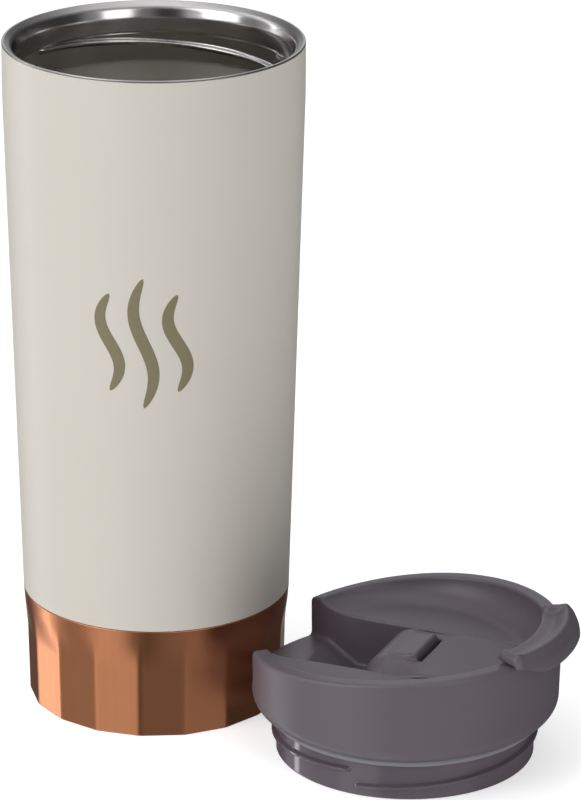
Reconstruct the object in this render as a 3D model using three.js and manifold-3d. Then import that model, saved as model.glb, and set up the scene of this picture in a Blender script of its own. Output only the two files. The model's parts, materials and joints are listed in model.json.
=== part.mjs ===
// Vacuum-insulated tumbler with a screw lid, standing side by side on a table.
// Millimetres, +Z up. The origin is the centre of the tumbler's foot, on the table.
// The lid stands on its threaded skirt, off the tumbler, with its drinking flap shut.

import * as THREE from "three";
import { mergeVertices } from "three/addons/utils/BufferGeometryUtils.js";
import Module from "manifold-3d";

const wasm = await Module();
wasm.setup();

// ---------------------------------------------------------------- driving dimensions

const GAP = 0.3; // clearance left between pieces that touch
const FINE = 72; // sides of the big round pieces, a multiple of the 18 facets
const COARSE = 48; // sides of the hidden round pieces

// tumbler
const HEIGHT = 184.8;
const MOUTH_R = 40;
const SHOULDER_Z = 170; // straight cylinder above this height
const SLEEVE_TOP_Z = 31.1; // where the painted wall meets the copper sleeve
const SLEEVE_TOP_R = 36.41;
const SHEET = 0.5; // steel sheet with its coating
const FACETS = 18;
const FACET_CORNER_R = 35.1; // corner radius of the faceted foot
const FACET_PHASE = 4; // degrees, azimuth of one facet corner
const FACET_FULL_Z = 18; // fully flat facets below this height
const SOCKET_R = 33.6; // bore of the copper sleeve at the foot
const SOCKET_TOP_R = 34.9; // and at the paint line
const OUTER_FOOT_Z = 4.2; // bottom edge of the outer wall, inside the sleeve
const FOOT_PLATE = 1;
const FOOT_CAP_R = 27.5;
const NECK_R = 36.6; // major radius of the thread inside the mouth
const NECK_TOP_Z = 177.5;
const NECK_BOTTOM_Z = 168;
const LINER_FLOOR_Z = 12;
const LINER_FOOT_R = 31;

// thread shared by the mouth and the lid: three starts, right-handed
const STARTS = 3;
const LEAD = 13;
const START_ARC = 118; // degrees of each ridge
const RIDGE_DEPTH = 1.1;
const RIDGE_WIDTH = 1.7;
const NECK_THREAD_Z = 171.6; // height of the mouth's ridges at their lower ends

// lid: its own frame has +X along the flap, from the lid's centre to the thumb tab
const LID = { x: 67.75, y: -38.85, turn: -22.9 };
const COLLAR_R = 41;
const COLLAR_TOP_R = 41.4; // it flares towards the rim, and still turns clear of the tumbler
const COLLAR_FOOT_Z = 12.3;
const COLLAR_FOOT_R = 36.6;
const COLLAR_SIDE_Z = 17;
const RIM_Z = 34.4; // height of the rim in the middle of the lid
const RIM_SLOPE = 0.107; // rise of the rim there, towards the tab
const RIM_BOW = 0.00112; // and how it falls away on both sides, per mm squared
const CREST_R = 37.1; // inner edge of the rim's flat top
const DISH_Z = 27.4;
const DISH_R = 29.5; // level floor of the dish inside this radius
const WALL = 2; // moulded wall of the lid
const HOLLOW_Z = DISH_Z - WALL - 0.2;
const SKIRT_R = 34.7;
const SKIRT_TOP_Z = 12;
const SKIRT_BORE_R = 32.4;
const PLUG_FLOOR_Z = 10.6;
const LID_THREAD_Z = 3;
const LID_THREAD_START = 269.5; // degrees from the tab, where one ridge begins
const GASKET_Z = [10.7, 12];

// channel across the lid, open at the notch
const CHANNEL_HALF = 15.8;
const NOTCH_HALF = 20.2;
const NOTCH_FLOOR_Z = 18.1;
const WELL_FLOOR_Z = 12.9;
const CHANNEL_FLOOR_Z = 16.9; // under the flap
const CHANNEL_END_R = 37.4;

// drinking flap
const HINGE = { x: -2, z: 23.7 };
const HUB_R = 5.6;
const PIN_R = 1.4;
const PIN_LENGTH = 35;
const FLAP_HALF = 15.3;
const FLAP_TOP_Z = [HINGE.z + HUB_R, 27.4]; // over the hinge, and at the foot of the tab
const FLAP_UNDER_Z = 24.3;
const FLAP_END_R = 34;
const TAB_ARC = 56; // degrees round the rim
const TAB_ROOT_ARC = 41; // the part of the tab that goes down to the arm
const TAB_LIP_ARC = 24; // the part whose lip hangs lowest
const TONGUE_HALF = 7.9;
const TONGUE_END = 6.2;
const TONGUE_SLOT = 1.2;
const SPOUT = { x: 26, halfX: 4.5, halfY: 8.5 };
const VENT = { x: 10, r: 1.8 };
const SEAL_Z = [17.3, 19.3];

const degrees = THREE.MathUtils.degToRad;

// ---------------------------------------------------------------- materials

const finish = (color, roughness, metalness) =>
  new THREE.MeshStandardMaterial({ color, roughness, metalness });

const coatedSteel = finish(0xd6d2c6, 0.45, 0.1);
const copper = finish(0xb97350, 0.35, 0.9);
const steel = finish(0x8d8a86, 0.3, 0.95);
const matteLid = finish(0x6e666c, 0.55, 0);
const glossLid = finish(0x655d65, 0.2, 0);
const silicone = finish(0x77717c, 0.6, 0);
const getterMetal = finish(0x6f6a63, 0.6, 0.6);
const brazeMetal = finish(0xa79f90, 0.4, 0.8);

// ---------------------------------------------------------------- shape helpers

// closed body from a closed outline of [radius, height] points, turned round +Z
function turned(outline, sides = FINE) {
  const points = outline.map(([r, z]) => new THREE.Vector2(r, z));
  const onAxis = outline[0][0] === 0;
  if (!onAxis) points.push(points[0].clone());
  return new THREE.LatheGeometry(points, sides).rotateX(Math.PI / 2);
}

// points of an arc about [cx, cz], both ends included
function arc(cx, cz, radius, from, to, steps) {
  return Array.from({ length: steps + 1 }, (_, i) => {
    const a = degrees(from + ((to - from) * i) / steps);
    return [cx + radius * Math.cos(a), cz + radius * Math.sin(a)];
  });
}

const shapeOf = (outline) =>
  new THREE.Shape(outline.map(([x, y]) => new THREE.Vector2(x, y)));

// plan outline raised from z0 to z1
function raised(outline, z0, z1) {
  const options = { depth: z1 - z0, bevelEnabled: false };
  return new THREE.ExtrudeGeometry(shapeOf(outline), options).translate(0, 0, z0);
}

// side outline of [x, z] points, thickened to +-half along Y
function slab(outline, half) {
  const options = { depth: 2 * half, bevelEnabled: false };
  const body = new THREE.ExtrudeGeometry(shapeOf(outline), options);
  return body.translate(0, 0, -half).rotateX(Math.PI / 2);
}

// section of [radius, height] points swept about +Z by arcDegrees, climbing by rise
function swept(section, startDegrees, arcDegrees, steps, rise = 0) {
  const options = { depth: 1, steps, bevelEnabled: false };
  const body = new THREE.ExtrudeGeometry(shapeOf(section), options);
  const place = body.attributes.position;
  for (let i = 0; i < place.count; i++) {
    const along = 1 - place.getZ(i);
    const angle = degrees(startDegrees + arcDegrees * along);
    const radius = place.getX(i);
    const z = place.getY(i) + rise * along;
    place.setXYZ(i, radius * Math.cos(angle), radius * Math.sin(angle), z);
  }
  return body;
}

// rounded rectangle in plan, centred at [x, 0]
function pad(x, halfX, halfY, corner) {
  return [
    ...arc(x + halfX - corner, halfY - corner, corner, 0, 90, 3),
    ...arc(x - halfX + corner, halfY - corner, corner, 90, 180, 3),
    ...arc(x - halfX + corner, -halfY + corner, corner, 180, 270, 3),
    ...arc(x + halfX - corner, -halfY + corner, corner, 270, 360, 3),
  ];
}

// solid for joining and cutting, from a closed geometry
function solid(geometry) {
  const bare = geometry.clone();
  bare.deleteAttribute("normal");
  bare.deleteAttribute("uv");
  const merged = mergeVertices(bare, 1e-4);
  return new wasm.Manifold(
    new wasm.Mesh({
      numProp: 3,
      vertProperties: new Float32Array(merged.attributes.position.array),
      triVerts: new Uint32Array(merged.index.array),
    }),
  );
}

const join = (...bodies) => bodies.reduce((a, b) => a.add(b));
const cut = (body, ...tools) => tools.reduce((a, b) => a.subtract(b), body);

function geometryOf(body) {
  const mesh = body.getMesh();
  const geometry = new THREE.BufferGeometry();
  const positions = new THREE.BufferAttribute(mesh.vertProperties, mesh.numProp);
  geometry.setAttribute("position", positions);
  geometry.setIndex(new THREE.BufferAttribute(mesh.triVerts, 1));
  geometry.computeVertexNormals();
  return geometry;
}

function piece(name, shape, material) {
  const geometry = shape.isBufferGeometry ? shape : geometryOf(shape);
  const mesh = new THREE.Mesh(geometry, material);
  mesh.name = name;
  return mesh;
}

// the three ridges of the thread, standing out from (or into) a wall of wallRadius
function ridges(wallRadius, depth, z, start) {
  const root = wallRadius - Math.sign(depth) * 0.3;
  const crest = wallRadius + depth;
  const half = RIDGE_WIDTH / 2;
  const rightWay = [
    [root, -half],
    [crest, -half * 0.45],
    [crest, half * 0.45],
    [root, half],
  ];
  const section = depth > 0 ? rightWay : rightWay.reverse();
  const climb = (LEAD * START_ARC) / 360;
  return Array.from({ length: STARTS }, (_, i) => {
    const from = start + (i * 360) / STARTS;
    return solid(swept(section, from, START_ARC, 14, climb).translate(0, 0, z));
  });
}

// ---------------------------------------------------------------- tumbler

function outerWall() {
  const seat = SLEEVE_TOP_Z + GAP;
  const foot = SOCKET_R - GAP;
  const step = SOCKET_TOP_R - GAP;
  return turned([
    [foot, OUTER_FOOT_Z],
    [step, seat],
    [SLEEVE_TOP_R, seat],
    [MOUTH_R, SHOULDER_Z],
    [MOUTH_R, HEIGHT - 0.5],
    [MOUTH_R - SHEET, HEIGHT - 0.5],
    [MOUTH_R - SHEET, SHOULDER_Z],
    [SLEEVE_TOP_R - SHEET, seat + SHEET],
    [step - SHEET, seat + SHEET],
    [foot - SHEET, OUTER_FOOT_Z],
  ]);
}

function innerLiner() {
  const outside = NECK_R + SHEET;
  const shell = turned(
    [
      [0, LINER_FLOOR_Z - SHEET],
      [LINER_FOOT_R - 5, LINER_FLOOR_Z - SHEET],
      [LINER_FOOT_R, LINER_FLOOR_Z + 3.4],
      [outside - 0.3, NECK_BOTTOM_Z - 2],
      [outside, NECK_TOP_Z],
      [MOUTH_R - SHEET - GAP, HEIGHT - 2.4],
      [MOUTH_R - SHEET - GAP, HEIGHT - GAP / 2],
      [MOUTH_R, HEIGHT - GAP / 2],
      [MOUTH_R, HEIGHT],
      [MOUTH_R - 0.9, HEIGHT],
      [MOUTH_R - 2.6, HEIGHT - 2.6],
      [NECK_R, NECK_TOP_Z],
      [NECK_R, NECK_BOTTOM_Z],
      [NECK_R - 0.8, NECK_BOTTOM_Z - 2],
      [LINER_FOOT_R - SHEET, LINER_FLOOR_Z + 3.6],
      [LINER_FOOT_R - 5.2, LINER_FLOOR_Z],
      [0, LINER_FLOOR_Z],
    ],
    COARSE,
  );
  return join(solid(shell), ...ridges(NECK_R, -RIDGE_DEPTH, NECK_THREAD_Z, 30));
}

// round at the top, an 18-sided foot below
function baseSleeve() {
  const geometry = turned([
    [FOOT_CAP_R + GAP, 0],
    [FACET_CORNER_R - 0.4, 0],
    [FACET_CORNER_R, 0.4],
    [FACET_CORNER_R + 0.4, FACET_FULL_Z],
    [FACET_CORNER_R + 0.9, 25],
    [SLEEVE_TOP_R, SLEEVE_TOP_Z],
    [SOCKET_TOP_R, SLEEVE_TOP_Z],
    [SOCKET_R, FOOT_PLATE],
    [FOOT_CAP_R + GAP, FOOT_PLATE],
  ]);
  const half = Math.PI / FACETS;
  const place = geometry.attributes.position;
  for (let i = 0; i < place.count; i++) {
    const [x, y, z] = [place.getX(i), place.getY(i), place.getZ(i)];
    const outside = Math.hypot(x, y) > SOCKET_R + 0.5;
    if (outside && z < SLEEVE_TOP_Z - 0.1) {
      const angle = Math.atan2(y, x) + 2 * Math.PI;
      const offCentre = (angle % (2 * half)) - half;
      const flat = Math.cos(half) / Math.cos(offCentre);
      const fade = (z - FACET_FULL_Z) / (SLEEVE_TOP_Z - FACET_FULL_Z);
      const round = THREE.MathUtils.clamp(fade, 0, 1);
      const scale = THREE.MathUtils.lerp(flat, 1, round);
      place.setXY(i, x * scale, y * scale);
    }
  }
  return geometry;
}

function outerBottom() {
  const rim = SOCKET_R - GAP - SHEET - GAP;
  return turned(
    [
      [0, 3.4],
      [5, 3.4],
      [6, 4.4],
      [rim, 4.4],
      [rim, 5.2],
      [5.4, 5.2],
      [4.4, 4.2],
      [0, 4.2],
    ],
    COARSE,
  );
}

const footCap = () =>
  turned([[0, 0], [FOOT_CAP_R, 0], [FOOT_CAP_R, FOOT_PLATE], [0, FOOT_PLATE]], COARSE);

const vacuumSeal = () => turned([[0, 1.7], [3.2, 1.7], [3.6, 3.1], [0, 3.1]], 24);

const getter = () => turned([[0, 5.6], [6, 5.6], [6, 7], [5, 7.6], [0, 7.6]], 24);

// sheet cup welded to the bottom plate, with a lip over the getter's edge
const getterClip = () =>
  turned(
    [
      [6.3, 5.5],
      [8.2, 5.5],
      [8.2, 5.9],
      [6.8, 5.9],
      [6.8, 8.3],
      [4.2, 8.3],
      [4.2, 7.9],
      [6.3, 7.9],
    ],
    24,
  );

// ---------------------------------------------------------------- lid

// height of the rim's top at a distance x towards the tab
const rimHeight = (x) => RIM_Z + RIM_SLOPE * x - RIM_BOW * x * x;

// bends the rim to that height and leaves the dish's floor level
function bowRim(geometry) {
  const place = geometry.attributes.position;
  for (let i = 0; i < place.count; i++) {
    const [x, z] = [place.getX(i), place.getZ(i)];
    const share = THREE.MathUtils.clamp((z - DISH_Z) / (RIM_Z - DISH_Z), 0, 1);
    place.setZ(i, z + share * (rimHeight(x) - RIM_Z));
  }
  return geometry;
}

// the channel that crosses the lid; grown outwards it leaves the channel's walls
function channelTool(grown) {
  const half = CHANNEL_HALF + grown;
  const end = CHANNEL_END_R + grown * 0.4;
  const reach = THREE.MathUtils.radToDeg(Math.asin(half / end));
  const upper = [
    [-22, half + 0.5],
    [-30.5, half + 2.2],
    [-36.4, NOTCH_HALF + grown],
    [-52, NOTCH_HALF + 6 + grown],
  ];
  const plan = [
    ...arc(0, 0, end, -reach, reach, 8),
    [-15, half],
    ...upper,
    ...upper.map(([x, y]) => [x, -y]).reverse(),
    [-15, -half],
  ];
  const side = [
    [-53, NOTCH_FLOOR_Z - grown],
    [-29.6, NOTCH_FLOOR_Z - grown],
    [-20, WELL_FLOOR_Z - grown],
    [-10.5, WELL_FLOOR_Z - grown],
    [-7.5, CHANNEL_FLOOR_Z - grown],
    [45, CHANNEL_FLOOR_Z - grown],
    [45, 60],
    [-53, 60],
  ];
  return solid(raised(plan, 5, 61)).intersect(solid(slab(side, 30)));
}

const spoutTool = (grown, z0, z1) =>
  solid(raised(pad(SPOUT.x, SPOUT.halfX + grown, SPOUT.halfY + grown, 3 + grown), z0, z1));

const roundTool = (x, radius, z0, z1) =>
  solid(
    new THREE.CylinderGeometry(radius, radius, z1 - z0, 20)
      .rotateX(Math.PI / 2)
      .translate(x, 0, (z0 + z1) / 2),
  );

const pinTool = (radius, length) =>
  solid(new THREE.CylinderGeometry(radius, radius, length, 20).translate(HINGE.x, 0, HINGE.z));

function lidShell() {
  const floor = PLUG_FLOOR_Z + GAP;
  const ring = SKIRT_BORE_R - GAP;
  const dishWall = arc(0, 0, 1, 0, 90, 6).map(([across, down]) => [
    THREE.MathUtils.lerp(DISH_R, CREST_R, across),
    THREE.MathUtils.lerp(RIM_Z, DISH_Z, down),
  ]);
  const body = solid(
    bowRim(
      turned([
        [0, floor],
        [ring, floor],
        [ring, COLLAR_FOOT_Z],
        [COLLAR_FOOT_R, COLLAR_FOOT_Z],
        [COLLAR_FOOT_R + 2.3, COLLAR_FOOT_Z + 0.9],
        [COLLAR_R - 0.8, COLLAR_SIDE_Z - 2.2],
        [COLLAR_R, COLLAR_SIDE_Z],
        [COLLAR_TOP_R, RIM_Z - 1.1],
        [COLLAR_TOP_R - 1, RIM_Z],
        ...dishWall,
        [0, DISH_Z],
      ]),
    ),
  );
  const hollow = solid(
    turned([
      [0, floor - 1],
      [ring - WALL, floor - 1],
      [ring - WALL, COLLAR_FOOT_Z + WALL],
      [COLLAR_R - 4, COLLAR_FOOT_Z + WALL],
      [COLLAR_R - 2.3, COLLAR_SIDE_Z + 0.6],
      [COLLAR_R - 2.3, HOLLOW_Z],
      [0, HOLLOW_Z],
    ]),
  );
  const chimneys = [spoutTool(WALL, 5, 30), roundTool(VENT.x, VENT.r + WALL, 5, 30)];
  return cut(
    body,
    cut(hollow, channelTool(WALL), ...chimneys),
    channelTool(0),
    spoutTool(0, 5, 30),
    roundTool(VENT.x, VENT.r, 5, 30),
    pinTool(PIN_R + GAP, PIN_LENGTH + 2),
  );
}

function lidPlug() {
  const under = PLUG_FLOOR_Z - WALL;
  const skirt = turned(
    [
      [0, under],
      [SKIRT_BORE_R - 0.4, under],
      [SKIRT_BORE_R, 0],
      [SKIRT_R - 0.5, 0],
      [SKIRT_R, 0.5],
      [SKIRT_R, SKIRT_TOP_Z],
      [SKIRT_BORE_R, SKIRT_TOP_Z],
      [SKIRT_BORE_R, PLUG_FLOOR_Z],
      [0, PLUG_FLOOR_Z],
    ],
    COARSE,
  );
  return cut(
    join(solid(skirt), ...ridges(SKIRT_R, RIDGE_DEPTH, LID_THREAD_Z, LID_THREAD_START)),
    spoutTool(0, 5, 15),
    roundTool(VENT.x, VENT.r, 5, 15),
  );
}

function lidGasket() {
  const [low, high] = GASKET_Z;
  const inner = SKIRT_R + GAP;
  const outer = COLLAR_FOOT_R;
  return turned([[inner, low], [outer - 0.7, low], [outer, high], [inner, high]], COARSE);
}

// thumb tab over the rim: its lip hangs lowest in the middle and rises to the rim at both ends
function thumbTab() {
  const under = rimHeight(COLLAR_TOP_R) + GAP;
  const lip = COLLAR_TOP_R + 1.15;
  const section = [
    [CREST_R - 1.2, under],
    [lip, under],
    [lip, 33.4],
    [lip + 0.8, 32.8],
    [lip + 2.6, 33.3],
    [lip + 3.7, 35.5],
    [lip + 3.3, 37.7],
    [lip + 2, 39.3],
    [lip + 0.1, 39.9],
    [lip - 2.1, 39.1],
    [lip - 4.1, 38.6],
    [CREST_R - 1.2, 38.5],
  ];
  const geometry = swept(section, -TAB_ARC / 2, TAB_ARC, 16);
  const place = geometry.attributes.position;
  for (let i = 0; i < place.count; i++) {
    const [x, y, z] = [place.getX(i), place.getY(i), place.getZ(i)];
    const angle = THREE.MathUtils.radToDeg(Math.abs(Math.atan2(y, x)));
    const share = THREE.MathUtils.smoothstep(angle, TAB_LIP_ARC / 2, TAB_ARC / 2);
    if (z < under) place.setZ(i, THREE.MathUtils.lerp(z, under, 0.95 * share));
    const proud = Math.max(Math.hypot(x, y) - lip, 0);
    const scale = 1 - (0.5 * share * proud) / Math.hypot(x, y);
    place.setXY(i, x * scale, y * scale);
  }
  return solid(geometry);
}

function flap() {
  const [topAtHinge, topAtTab] = FLAP_TOP_Z;
  const under = THREE.MathUtils.radToDeg(Math.asin((FLAP_UNDER_Z - HINGE.z) / HUB_R));
  const side = [
    ...arc(HINGE.x, HINGE.z, HUB_R, 90, 360 + under, 14),
    [FLAP_END_R + 4, FLAP_UNDER_Z],
    [FLAP_END_R + 4, topAtTab],
  ];
  const reach = THREE.MathUtils.radToDeg(Math.asin(FLAP_HALF / FLAP_END_R));
  const corner = 4;
  const left = HINGE.x - HUB_R - 1 + corner;
  const plan = [
    ...arc(0, 0, FLAP_END_R, -reach, reach, 8),
    ...arc(left, FLAP_HALF - corner, corner, 90, 180, 3),
    ...arc(left, corner - FLAP_HALF, corner, 180, 270, 3),
  ];
  const arm = solid(slab(side, 20)).intersect(solid(raised(plan, 5, 40)));
  const root = [
    [31, FLAP_UNDER_Z],
    [CREST_R - 0.3, FLAP_UNDER_Z],
    [CREST_R - 0.3, 38],
    [CREST_R - 1.2, 38.4],
    [CREST_R - 1.7, 33],
    [CREST_R - 3, 29],
    [31, topAtTab + 0.1],
  ];
  const tongue = [
    [HINGE.x - 3.6, topAtHinge - 1.6],
    [TONGUE_END, topAtHinge - 1.6],
    [TONGUE_END, topAtHinge - 0.3],
    [TONGUE_END - 1.5, topAtHinge + 1.4],
    [HINGE.x, topAtHinge + 0.1],
  ];
  const slot = [
    [TONGUE_END, topAtHinge - 1.8],
    [TONGUE_END + TONGUE_SLOT, topAtHinge - 1.8],
    [TONGUE_END + TONGUE_SLOT, 40],
    [TONGUE_END, 40],
  ];
  const [sealBottom, sealTop] = SEAL_Z;
  return cut(
    join(
      arm,
      solid(swept(root, -TAB_ROOT_ARC / 2, TAB_ROOT_ARC, 10)),
      thumbTab(),
      solid(slab(tongue, TONGUE_HALF)),
      spoutTool(0.5, sealTop + GAP, FLAP_UNDER_Z + 0.5),
      roundTool(VENT.x, 2.2, sealTop + GAP, FLAP_UNDER_Z + 0.5),
    ),
    solid(slab(slot, TONGUE_HALF)),
    pinTool(PIN_R + GAP, 60),
  );
}

function spoutSeal() {
  const [low, high] = SEAL_Z;
  return join(spoutTool(1.5, low, high), spoutTool(-0.6, low - 1.4, low + 0.4));
}

const ventSeal = () => roundTool(VENT.x, 2.8, SEAL_Z[0], SEAL_Z[1]);

// ---------------------------------------------------------------- assembly

const sleeve = piece("base_sleeve", baseSleeve(), copper);
sleeve.rotation.z = degrees(FACET_PHASE);

const tumbler = new THREE.Group();
tumbler.add(
  piece("outer_wall", outerWall(), coatedSteel),
  piece("inner_liner", innerLiner(), steel),
  sleeve,
  piece("foot_cap", footCap(), copper),
  piece("outer_bottom", outerBottom(), steel),
  piece("vacuum_seal", vacuumSeal(), brazeMetal),
  piece("getter", getter(), getterMetal),
  piece("getter_clip", getterClip(), steel),
);

const lid = new THREE.Group();
lid.add(
  piece("lid_shell", lidShell(), matteLid),
  piece("lid_plug", lidPlug(), glossLid),
  piece("lid_gasket", lidGasket(), silicone),
  piece("hinge_pin", pinTool(PIN_R, PIN_LENGTH), steel),
  piece("flap", flap(), matteLid),
  piece("spout_seal", spoutSeal(), silicone),
  piece("vent_seal", ventSeal(), silicone),
);
lid.position.set(LID.x, LID.y, 0);
lid.rotation.z = degrees(LID.turn);

const group = new THREE.Group();
group.add(tumbler, lid);
export default group;
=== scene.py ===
"""An insulated steel tumbler with a copper foot, and its flip-top lid set down beside it.

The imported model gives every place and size. This script makes the fine surfaces that stand
for its nodes, their finishes, the printed mark, the studio and the camera. Shapes are worked
out in millimetres and turned into metres as each mesh is made.
"""

import json
import math

import bpy
import numpy as np
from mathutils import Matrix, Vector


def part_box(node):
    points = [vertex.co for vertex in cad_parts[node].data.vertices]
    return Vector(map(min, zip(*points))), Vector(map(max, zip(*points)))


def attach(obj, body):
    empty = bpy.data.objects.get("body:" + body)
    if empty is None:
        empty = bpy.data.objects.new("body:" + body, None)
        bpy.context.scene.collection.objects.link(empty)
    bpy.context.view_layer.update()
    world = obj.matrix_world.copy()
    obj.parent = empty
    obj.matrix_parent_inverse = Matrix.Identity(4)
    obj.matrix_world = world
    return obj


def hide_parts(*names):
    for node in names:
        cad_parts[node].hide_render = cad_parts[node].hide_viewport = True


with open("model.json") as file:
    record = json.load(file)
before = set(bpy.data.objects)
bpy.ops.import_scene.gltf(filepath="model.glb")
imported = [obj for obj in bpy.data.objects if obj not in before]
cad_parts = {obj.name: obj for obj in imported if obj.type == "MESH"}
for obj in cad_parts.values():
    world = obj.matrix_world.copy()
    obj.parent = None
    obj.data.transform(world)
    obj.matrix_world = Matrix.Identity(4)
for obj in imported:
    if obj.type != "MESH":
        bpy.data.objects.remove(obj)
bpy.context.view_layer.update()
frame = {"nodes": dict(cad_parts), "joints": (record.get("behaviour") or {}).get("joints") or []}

import openvdb
from mathutils import Matrix, Vector

MM = 0.001


# ---------------------------------------------------------------- sizes read from the frame


def corners(node):
    """Lowest and highest corner of a CAD node, in millimetres."""
    low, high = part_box(node)
    return np.array(low) / MM, np.array(high) / MM


GAP = 0.3  # clearance between neighbouring pieces
JOINTS = {joint["name"]: joint for joint in frame["joints"]}

HEIGHT = corners("inner_liner")[1][2]
MOUTH_R = corners("inner_liner")[1][0]
LINER_BASE = corners("inner_liner")[0][2]
WALL_TOP_Z = corners("outer_wall")[1][2]
WALL_FOOT_Z = corners("outer_wall")[0][2]
SLEEVE_TOP_Z = corners("base_sleeve")[1][2]
CAP_HIGH = corners("foot_cap")[1]
GASKET_LOW, GASKET_HIGH = corners("lid_gasket")
SEAL_TOP_Z = corners("spout_seal")[1][2]
PLUG_TOP_Z = corners("lid_plug")[1][2]

LID_X, LID_Y = (GASKET_LOW[:2] + GASKET_HIGH[:2]) / 2
HINGE_AXIS = JOINTS["flap_hinge"]["axis"]
LID_TURN = math.atan2(HINGE_AXIS[0], -HINGE_AXIS[1])
HINGE_AT = np.array(JOINTS["flap_hinge"]["pos_m"]) / MM
HINGE_X = (HINGE_AT[0] - LID_X) * math.cos(LID_TURN) + (HINGE_AT[1] - LID_Y) * math.sin(LID_TURN)
HINGE_Z = HINGE_AT[2]

# ---------------------------------------------------------------- sizes of the tumbler

SHEET = 0.5
SHOULDER_Z = 170  # straight above, tapered below
SLEEVE_TOP_R = 36.41
SOCKET_R = 33.6  # bore of the sleeve at the foot
SOCKET_TOP_R = 34.9  # and at the paint line
FOOT_PLATE = CAP_HIGH[2]
FOOT_CAP_R = CAP_HIGH[0]
LIP_R = 37.4  # inner edge of the mouth's broad lip
LIP_Z = 183.6
LIP_THICK = 2.4  # of the lip's hidden underside at the wall
NECK_R = 36.6
NECK_TOP_Z = 177
NECK_BOTTOM_Z = 168
LINER_FOOT_R = 31

FACETS = 18
FACET_CORNER_R = 35.1
FACET_PHASE = math.radians(4)  # azimuth of one corner
FACET_FULL_Z = 19  # flat below, and less and less so up to the next height
FACET_FADE_Z = 28

# ---------------------------------------------------------------- sizes of the screw threads

STARTS = 3
LEAD = 13
START_ARC = math.radians(118)
RIDGE_WIDTH = 1.9
RIDGE_DEPTH = 1.1
RIDGE_FLANK = 0.75  # share of half the width over which a ridge rises
RIDGE_RUN_IN = math.radians(3)
NECK_THREAD = (171.6, math.radians(30))  # height and azimuth at which one ridge starts
LID_THREAD = (3, math.radians(269.5))

# ---------------------------------------------------------------- sizes of the lid, about its own axis

COLLAR_R = 41
COLLAR_TOP_R = 41.4  # it flares slightly towards the rim
COLLAR_FOOT_Z = 12.3
COLLAR_SIDE_Z = 17
FOOT_ROUND = 4.7
RIM_Z = 34.4  # in the middle of the lid
RIM_SLOPE = 0.107  # its rise there towards the tab
RIM_BOW = 0.00112  # and how it falls away on both sides, per mm squared
CREST_R = 37.1  # inner edge of the rim's flat top
DISH_Z = 27.4
DISH_R = 29.5
CORE_R = 32.1  # the part of the shell that reaches down into the skirt
CORE_Z = PLUG_TOP_Z - 1.1

CHANNEL_HALF = 15.8
CHANNEL_END_R = 37.4
CHANNEL_FLARE_X = -12  # it widens beyond this, towards the notch
FLOOR = [  # the channel's floor from the notch to the tab, with the well before the hinge
    (-53, 18.1),
    (-29.6, 18.1),
    (-20, 12.9),
    (-10.5, 12.9),
    (-7.5, 16.9),
    (45, 16.9),
]

SKIRT_R = 34.7
SKIRT_BORE_R = 32.4
PLUG_FLOOR_Z = 10.6
PLUG_WALL = 2

HUB_R = 5.6
FLAP_HALF = 15.3
FLAP_TOP_Z = (HINGE_Z + HUB_R, 27.4)  # over the hinge and at the foot of the tab
FLAP_UNDER_Z = 24.3
FLAP_END_X = 34
FLAP_END_R = 36
CHEEK_Y, CHEEK_X, CHEEK_FALL = 8.6, 13, 3.2  # where and how far its sides fall away by the hub
TAB_ARC = math.radians(28)  # half arcs of the whole tab, its root and its deepest lip
TAB_ROOT_ARC = math.radians(20.5)
TAB_LIP_ARC = math.radians(12)
TAB_LIP_R = COLLAR_TOP_R + 1.15  # inside of the lip, clear of the collar
TAB_INNER_R = CREST_R - 1.2
TAB_END_R = 1.55  # of the roll at each end
TAB_END_HALF = 2
TAB_END_Z = 38.65
TONGUE_HALF = 7.9
TONGUE_END = 6.2
TONGUE_LIFT = 1.75
TONGUE_SLOT = 1.2
SPOUT_X, SPOUT_HALF_X, SPOUT_HALF_Y, SPOUT_ROUND = 26, 4.5, 8.5, 3
VENT_X, VENT_R = 10, 1.8
PIN_BORE_R = 1.7
PIN_BORE_HALF = 18.5

# ---------------------------------------------------------------- the printed mark and the room

MARK_X = -1.8
MARK_Z = 113.5
WAVES = [(-9, 27), (0, 36), (9, 27)]  # middle and height of each wavy line
WAVE_HALF = 1.7  # half the width of a line in the middle
WAVE_SWAY = 2.6
INK_THICK = 0.06

# upright panels round the room: azimuth, half width and soft edge in degrees, and brightness
PANELS = [
    (157, 2.5, 1.5, 3.6),
    (158, 11, 16, 0.4),
    (-162, 8, 14, 0.24),
    (-132, 9, 14, 0.68),
    (-76, 4, 14, 0.17),
    (-44, 9, 14, 0.26),
    (92, 8, 10, 0.7),
]


# ---------------------------------------------------------------- meshes


def rounded(outline, steps=6):
    """A closed outline of (u, v) or (u, v, radius) corners, with the corners that have one rounded."""
    count = len(outline)
    points = []
    for i, corner in enumerate(outline):
        here = np.array(corner[:2], float)
        if len(corner) == 2:
            points.append(here)
            continue
        before = np.array(outline[i - 1][:2], float) - here
        after = np.array(outline[(i + 1) % count][:2], float) - here
        room = min(np.linalg.norm(before), np.linalg.norm(after))
        before /= np.linalg.norm(before)
        after /= np.linalg.norm(after)
        half = math.acos(np.clip(before @ after, -1, 1)) / 2
        reach = min(corner[2] / math.tan(half), 0.48 * room)
        radius = reach * math.tan(half)
        centre = here + (before + after) / np.linalg.norm(before + after) * radius / math.sin(half)
        start = here + before * reach - centre
        end = here + after * reach - centre
        turn = math.atan2(start[0] * end[1] - start[1] * end[0], start @ end)
        support = 0.25 * reach
        points.append(here + before * min(reach + support, 0.49 * room))
        for k in range(steps + 1):
            angle = turn * k / steps
            cos, sin = math.cos(angle), math.sin(angle)
            points.append(centre + [start[0] * cos - start[1] * sin, start[0] * sin + start[1] * cos])
        points.append(here + after * min(reach + support, 0.49 * room))
    return np.array(points)


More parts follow.
